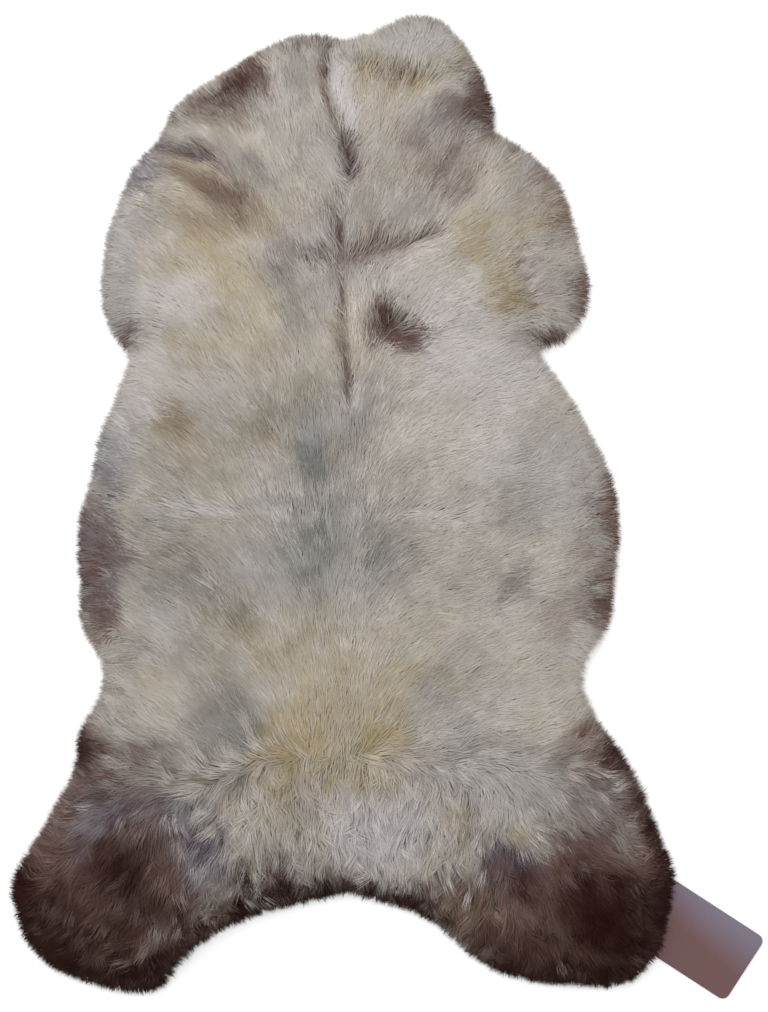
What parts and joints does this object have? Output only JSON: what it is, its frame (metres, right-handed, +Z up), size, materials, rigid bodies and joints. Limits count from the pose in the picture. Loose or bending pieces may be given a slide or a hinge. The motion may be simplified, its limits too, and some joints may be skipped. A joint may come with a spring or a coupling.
{
  "type": "sheepskin rug with a leather label",
  "caption": "Whole sheepskin laid flat with its wool on: lobed outline with neck and legs, dense lumpy pile, drooping locks round the rim, plain leather label under a hind leg.",
  "frame": {"origin": "middle of the rug's box, on the floor that it lies on", "axes": "+Y along the back to the neck, +Z up out of the wool, +X to the side that holds the label"},
  "size_m": [0.8036, 1.056, 0.0526],
  "materials": {
    "wool": "cream and beige-grey sheep's wool, dark brown on the hind legs, with soft crimped locks",
    "label_leather": "pinkish-brown vegetable-tanned leather, smooth and bare"
  },
  "bodies": {
    "root": {"pelt": "wool", "label": "label_leather"}
  },
  "joints": []
}
